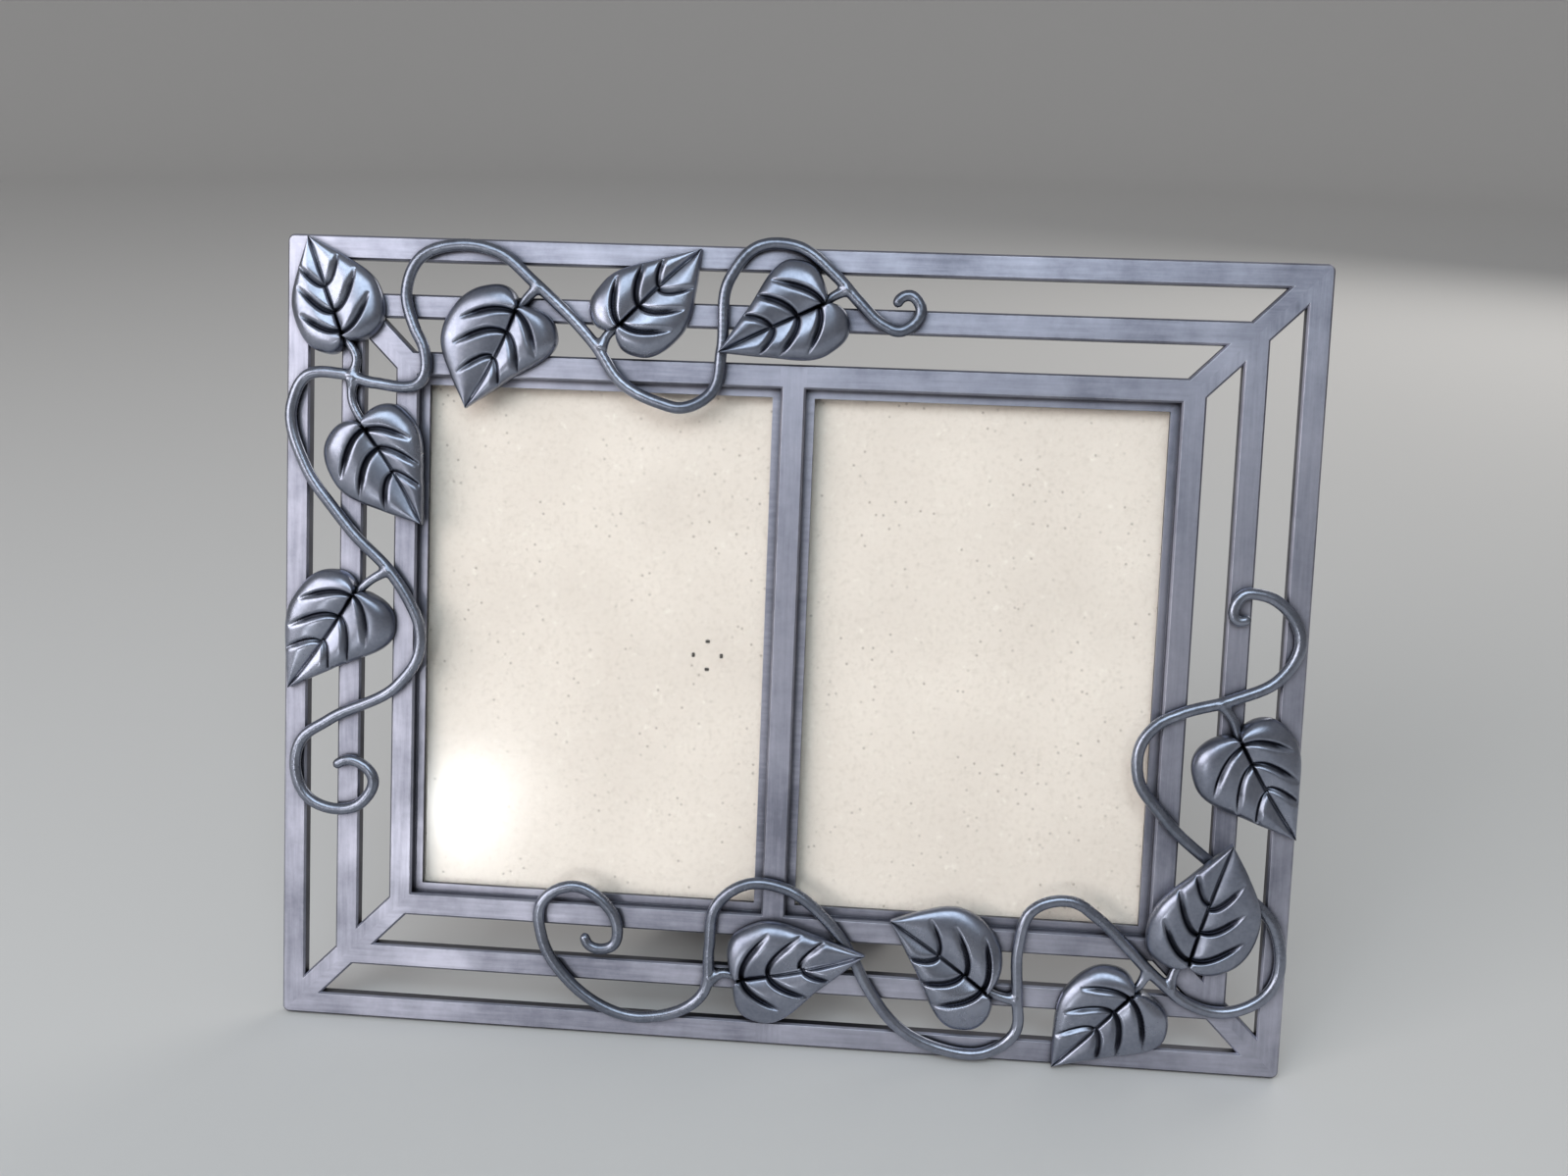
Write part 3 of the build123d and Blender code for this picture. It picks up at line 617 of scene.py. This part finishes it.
def cast_metal(name, bright, shade, roughness):
    """Antiqued casting: rubbed metal on what stands proud, near-black patina and painted shade in what
    lies low.
    """
    shader = Shader(name)
    clouds = shader.noise(26, detail=3, roughness=0.5)
    blotches = shader.noise(140, detail=4, roughness=0.65)
    grain = shader.noise(1100, detail=2, roughness=0.6)
    tone = shader.sum_of((clouds, 0.5), (blotches, 0.35), (grain, 0.15))
    rubbed = shader.blend(shader.fit(tone, 0.38, 0.6), shade, bright)
    uncut = shader.fit(shader.attribute("cut"), 0.08, 0.5, 1.0, 0.0)
    # Painted shade: ambient occlusion darkens creases and where vines and leaves meet the bars, added to
    # the real patina in the gouges and midrib
    patina_and_shade_mask = shader.fit(shader.open_share(2.6 * mm), 0.22, 0.85)
    patina_and_shade_mask = shader.math("POWER", shader.math("MULTIPLY", patina_and_shade_mask, uncut), 0.9)
    shader.feed(shader.surface.inputs["Base Color"], shader.blend(patina_and_shade_mask, cast_patina_and_shade, rubbed))
    shader.surface.inputs["Metallic"].default_value = 0.92
    shader.feed(
        shader.surface.inputs["Roughness"], shader.fit(tone, 0.3, 0.7, roughness + 0.1, roughness)
    )
    shader.bump(blotches, 0.02 * mm, 0.5)
    return shader.material


def bar_metal():
    """Antiqued casting of the bars, brushed along each bar, with dark smears, rubbed edges, and patina
    and painted shade in its recesses and on its side walls.
    """
    shader = Shader("cast_metal_bars")
    split = shader.node("SeparateXYZ")
    shader.link(shader.place, split.inputs["Vector"])
    from_middle = shader.math("ABSOLUTE", split.outputs["X"])
    height = shader.math("SUBTRACT", split.outputs["Z"], middle.z)
    from_centre = shader.math("ABSOLUTE", shader.math("DIVIDE", height, cos(lean)))
    beside = shader.math("SUBTRACT", from_middle, from_centre)
    upright = shader.math("GREATER_THAN", beside, (face_width - face_height) / 2)
    mullion = shader.math("LESS_THAN", from_middle, mullion_zone)
    upright = shader.math("MAXIMUM", upright, mullion)
    along = shader.noise(900, detail=3, roughness=0.6, stretch=(0.06, 1, 1))
    upward = shader.noise(900, detail=3, roughness=0.6, stretch=(1, 0.06, 0.06))
    streaks = shader.blend(upright, along, upward)
    clouds = shader.noise(24, detail=3, roughness=0.55)
    smears = shader.noise(75, detail=5, roughness=0.7)
    tone = shader.sum_of((clouds, 0.5), (smears, 0.3), (streaks, 0.2))
    smeared, clean, edge = (0.22, 0.225, 0.28), (0.54, 0.54, 0.64), (0.66, 0.67, 0.74)
    rubbed = shader.blend(shader.fit(tone, 0.38, 0.62), smeared, clean)
    patchy = shader.fit(smears, 0.35, 0.6)
    worn = shader.math("MULTIPLY", shader.fit(shader.attribute("worn"), 0, 1), patchy)
    rubbed = shader.blend(shader.math("MULTIPLY", worn, 0.6), rubbed, edge)
    # Painted shade from ambient occlusion in recesses and corners, partly the real patina there
    patina_and_shade_mask = shader.fit(shader.open_share(3.0 * mm), 0.3, 0.85)
    # Painted shade on the side walls, which face neither out nor back
    wall_shade_factor = shader.fit(shader.math("ABSOLUTE", shader.facing(out)), 0.35, 0.8, 0.22, 1.0)
    patina_and_shade_mask = shader.math("MULTIPLY", patina_and_shade_mask, wall_shade_factor)
    shader.feed(shader.surface.inputs["Base Color"], shader.blend(patina_and_shade_mask, bar_patina_and_shade, rubbed))
    shader.surface.inputs["Metallic"].default_value = 0.92
    shader.feed(shader.surface.inputs["Roughness"], shader.fit(tone, 0.4, 0.6, 0.46, 0.34))
    shader.bump(shader.math("ADD", streaks, smears), 0.03 * mm, 0.5)
    return shader.material


# Board: how closely its specks lie, and how far the painted shade reaches in its torn paper round each
# prong end
specks_per_metre = 230
prong_shade_near, prong_shade_far = 0.35 * mm, 0.8 * mm


def board():
    """Pale uncoated board with fine fibres and specks, and painted shade round each prong end."""
    shader = Shader("board")
    fibres = shader.noise(420, detail=5, roughness=0.7)
    clouds = shader.noise(30, detail=3)
    dull, pale, fibre = (0.60, 0.515, 0.455), (0.67, 0.58, 0.515), (0.80, 0.74, 0.66)
    pulp, speck, prong_shade_colour = (0.42, 0.345, 0.29), (0.22, 0.17, 0.13), (0.07, 0.05, 0.04)
    colour = shader.blend(shader.fit(clouds, 0.3, 0.7), dull, pale)
    colour = shader.blend(shader.fit(fibres, 0.60, 0.72, 0, 0.5), colour, fibre)
    mottle = shader.noise(800, detail=4, roughness=0.75)
    colour = shader.blend(shader.fit(mottle, 0.50, 0.35, 0, 0.3), colour, pulp)
    split = shader.node("SeparateXYZ")
    shader.link(shader.place, split.inputs["Vector"])
    flat = shader.node("CombineXYZ")
    shader.link(split.outputs["X"], flat.inputs["X"])
    shader.link(split.outputs["Z"], flat.inputs["Y"])
    specks = shader.node("TexVoronoi", voronoi_dimensions="2D")
    shader.link(flat.outputs["Vector"], specks.inputs["Vector"])
    specks.inputs["Scale"].default_value = specks_per_metre
    dots = shader.fit(specks.outputs["Distance"], 0.05, 0.10, 1.0, 0.0)
    some = shader.fit(shader.noise(120, detail=1), 0.50, 0.62)
    specked = shader.math("MULTIPLY", shader.math("MULTIPLY", dots, some), 0.6)
    colour = shader.blend(specked, colour, speck)
    # Painted shade in the torn paper round each prong end
    prong_shade = shader.fit(shader.distance_to(prong_ends), prong_shade_near, prong_shade_far, 0.5, 0.0)
    colour = shader.blend(prong_shade, colour, prong_shade_colour)
    shader.feed(shader.surface.inputs["Base Color"], colour)
    shader.surface.inputs["Roughness"].default_value = 0.85
    shader.bump(fibres, 0.05 * mm, 0.5)
    return shader.material


def picture_glass():
    """Clear glass that lets light through to the board, with a faint haze on its face."""
    shader = Shader("picture_glass")
    surface = shader.surface
    surface.inputs["Base Color"].default_value = (0.97, 0.99, 0.98, 1)
    surface.inputs["Transmission Weight"].default_value = 1
    surface.inputs["Roughness"].default_value = 0.15
    surface.inputs["IOR"].default_value = 1.5
    clear = shader.node("BsdfTransparent")
    mix = shader.node("MixShader")
    path = shader.node("LightPath")
    shader.link(path.outputs["Is Shadow Ray"], mix.inputs["Fac"])
    shader.link(surface.outputs["BSDF"], mix.inputs[1])
    shader.link(clear.outputs["BSDF"], mix.inputs[2])
    shader.link(mix.outputs["Shader"], shader.output.inputs["Surface"])
    return shader.material


def flocked_paper():
    """Black paper with a short velvety pile."""
    shader = Shader("flocked_paper")
    pile = shader.noise(1500, detail=3, roughness=0.7)
    deep, tips = (0.012, 0.012, 0.014), (0.04, 0.04, 0.044)
    colour = shader.blend(shader.fit(pile, 0.35, 0.7), deep, tips)
    shader.feed(shader.surface.inputs["Base Color"], colour)
    shader.surface.inputs["Roughness"].default_value = 0.95
    shader.surface.inputs["Sheen Weight"].default_value = 0.5
    shader.surface.inputs["Sheen Roughness"].default_value = 0.4
    shader.bump(pile, 0.12 * mm, 0.8)
    return shader.material


def strut_paper():
    """Board covered in black leatherette paper."""
    shader = Shader("strut_paper")
    grain = shader.noise(1100, detail=2, roughness=0.5)
    deep, tops = (0.010, 0.010, 0.012), (0.035, 0.035, 0.038)
    colour = shader.blend(shader.fit(grain, 0.4, 0.65), deep, tops)
    shader.feed(shader.surface.inputs["Base Color"], colour)
    shader.surface.inputs["Roughness"].default_value = 0.62
    shader.bump(grain, 0.12 * mm, 0.9)
    return shader.material


# Plated steel: how dark its dull patches are, and the painted shade on each prong end
dull_share = 0.55
prong_end_shade = (0.07, 0.06, 0.055)
prong_end_shade_near, prong_end_shade_far = 0.9 * mm, 1.6 * mm


def plated_steel(name, colour, roughness, shaded_places=None):
    """Plain plated steel with drawing lines and dull patches, and painted shade near any shaded places.
    """
    shader = Shader(name)
    lines = shader.noise(700, detail=3, stretch=(0.08, 1, 1))
    dull = shader.noise(160, detail=3)
    darker = tuple(dull_share * part for part in colour)
    shade = shader.blend(shader.fit(dull, 0.3, 0.7), darker, colour)
    if shaded_places:
        # Painted shade on the steel near the prong ends
        near = shader.fit(shader.distance_to(shaded_places), prong_end_shade_near, prong_end_shade_far, 1.0, 0.0)
        shade = shader.blend(near, shade, prong_end_shade)
    shader.feed(shader.surface.inputs["Base Color"], shade)
    shader.surface.inputs["Metallic"].default_value = 1.0
    shader.feed(
        shader.surface.inputs["Roughness"], shader.fit(dull, 0.3, 0.7, roughness + 0.15, roughness)
    )
    shader.bump(lines, 0.02 * mm, 0.5)
    return shader.material


def dress_node(name, material):
    """Gives a CAD node its material."""
    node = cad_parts[name]
    node.data.materials.clear()
    node.data.materials.append(material)


def add_area(name, place, target, size, energy, colour):
    """A soft rectangular lamp aimed at a target."""
    lamp = bpy.data.lights.new(name, "AREA")
    lamp.shape = "RECTANGLE"
    lamp.size, lamp.size_y = size
    lamp.energy = energy
    lamp.color = colour
    holder = bpy.data.objects.new(name, lamp)
    bpy.context.scene.collection.objects.link(holder)
    holder.location = place
    holder.rotation_euler = (Vector(target) - Vector(place)).to_track_quat("-Z", "Y").to_euler()
    holder.visible_camera = False
    return lamp


def make_room():
    """Round pale floor that curves up into a low wall, with a soft world above."""
    reach, bend_radius, wall_top = 2.7, 0.9, 1.9
    corners, bend_steps = 96, 16
    profile = [(reach / 3, 0.0), (reach * 2 / 3, 0.0), (reach, 0.0)]
    for step in range(1, bend_steps + 1):
        angle = step / bend_steps * pi / 2
        profile.append((reach + bend_radius * sin(angle), bend_radius * (1 - cos(angle))))
    profile.append((reach + bend_radius, wall_top))
    turns = [2 * pi * step / corners for step in range(corners)]
    mesh = bmesh.new()
    rows = [
        [mesh.verts.new((out_by * cos(turn), out_by * sin(turn), z)) for turn in turns]
        for out_by, z in profile
    ]
    mesh.faces.new(rows[0])
    for low, high in zip(rows, rows[1:]):
        for spot in range(corners):
            mesh.faces.new((low[spot], low[spot - 1], high[spot - 1], high[spot]))
    data = bpy.data.meshes.new("floor")
    mesh.to_mesh(data)
    mesh.free()
    data.shade_smooth()
    floor = bpy.data.objects.new("floor", data)
    bpy.context.scene.collection.objects.link(floor)
    shader = Shader("floor")
    shader.surface.inputs["Base Color"].default_value = (0.72, 0.71, 0.695, 1)
    shader.surface.inputs["Roughness"].default_value = 0.9
    shader.surface.inputs["Specular IOR Level"].default_value = 0.2
    data.materials.append(shader.material)
    world = bpy.data.worlds.new("room")
    world.use_nodes = True
    sky = world.node_tree.nodes["Background"]
    sky.inputs["Color"].default_value = (0.93, 0.94, 0.96, 1)
    sky.inputs["Strength"].default_value = 0.32
    bpy.context.scene.world = world


# Camera: its place from the middle of the panel's lower edge, the way it looks and its right hand side,
# each across the panel, up it and out of it, its sensor, and its focal length as a share of the width
camera_place = (26.9 * mm, 150.2 * mm, 366.5 * mm)
camera_look = (-0.074, -0.096, -0.993)
camera_right = (0.9962, 0.0387, -0.0775)
sensor_width = 36
focal_share = 1550 / 1599
nearest_seen = 10 * mm


def make_camera():
    """Camera where the photograph was taken from, found from the corners of the panel."""
    place = middle - up * face_height / 2 + from_axes(*camera_place)
    look = from_axes(*camera_look).normalized()
    right = from_axes(*camera_right)
    right = (right - look * right.dot(look)).normalized()
    turn = Matrix((right, right.cross(look), -look)).transposed()
    lens = bpy.data.cameras.new("camera")
    lens.sensor_width = sensor_width
    lens.lens = sensor_width * focal_share
    lens.clip_start = nearest_seen
    camera = bpy.data.objects.new("camera", lens)
    camera.matrix_world = Matrix.Translation(place) @ turn.to_4x4()
    bpy.context.scene.collection.objects.link(camera)
    bpy.context.scene.camera = camera


leaf_metal = cast_metal("cast_metal_leaves", (0.31, 0.33, 0.40), (0.17, 0.185, 0.235), 0.24)
vine_metal = cast_metal("cast_metal_vines", (0.30, 0.32, 0.385), (0.14, 0.155, 0.195), 0.22)

make_rounded("frame_casting", "panel", bar_metal(), casting_edge)
for vine_name, shares, leaves in (
    ("vine_upper_left", upper_left_vine_shares, upper_left_leaf_shares),
    ("vine_lower_right", lower_right_vine_shares, lower_right_leaf_shares),
):
    make_vine(vine_name, shares, leaves, vine_metal)
    for leaf_name, places in leaves.items():
        make_leaf(leaf_name, *places, leaf_metal)

# Prong ends of the hinge, round which the board and the hinge steel get painted shade
prong_ends = [
    middle
    + from_axes(
        prong_spot[0] + prong_circle * cos(turn * pi / 2),
        prong_spot[1] + prong_circle * sin(turn * pi / 2),
        -board_depth,
    )
    for turn in range(4)
]
dress_node("back_board", board())
glass = picture_glass()
dress_node("glass_left", glass)
dress_node("glass_right", glass)
dress_node("back_covering", flocked_paper())
make_rounded("strut", "strut", strut_paper(), strut_edge)
hinge_steel = plated_steel("hinge_steel", (0.55, 0.55, 0.56), 0.34, prong_ends)
make_rounded("hinge_fixed_leaf", "panel", hinge_steel, hinge_edge)
make_rounded("hinge_moving_leaf", "strut", hinge_steel, hinge_edge)
make_rounded("hinge_pin", "panel", hinge_steel, pin_edge)
button_steel = plated_steel("button_steel", (0.50, 0.50, 0.50), 0.4)
for corner in ("top_left", "top_right", "bottom_left", "bottom_right"):
    button = "turn_button_" + corner
    make_rounded(button, button, button_steel, button_edge)
screw_steel = plated_steel("screw_steel", (0.60, 0.57, 0.50), 0.3)
make_rounded("button_screws", "panel", screw_steel, screw_edge)

make_room()
make_camera()

# Lamps: where each stands from the middle of the panel, its size, power and colour
for lamp_name, from_middle, size, energy, colour in (
    ("key", from_axes(-1.45, 0.33, 1.5), (1.3, 1.15), 18.5, (1.0, 0.97, 0.98)),
    ("fill", Vector((0.8, 1.1, 0.7)), (0.9, 0.9), 5.0, (1.0, 0.98, 0.95)),
    ("sky", Vector((-0.05, -0.80, 0.78)), (0.9, 0.55), 5.2, (0.78, 0.91, 1.0)),
):
    add_area(lamp_name, middle + from_middle, middle, size, energy, colour)

# A small round lamp whose reflection is the glare in the left window
glare = middle + from_axes(-80 * mm, -42 * mm)
from_glare = from_axes(-0.272, -0.240, 0.932) * 1.2
glint = add_area("glint", glare + from_glare, glare, (0.05, 0.05), 0.6, (1, 1, 1))
glint.shape = "DISK"

bpy.context.scene.view_settings.view_transform = "Standard"
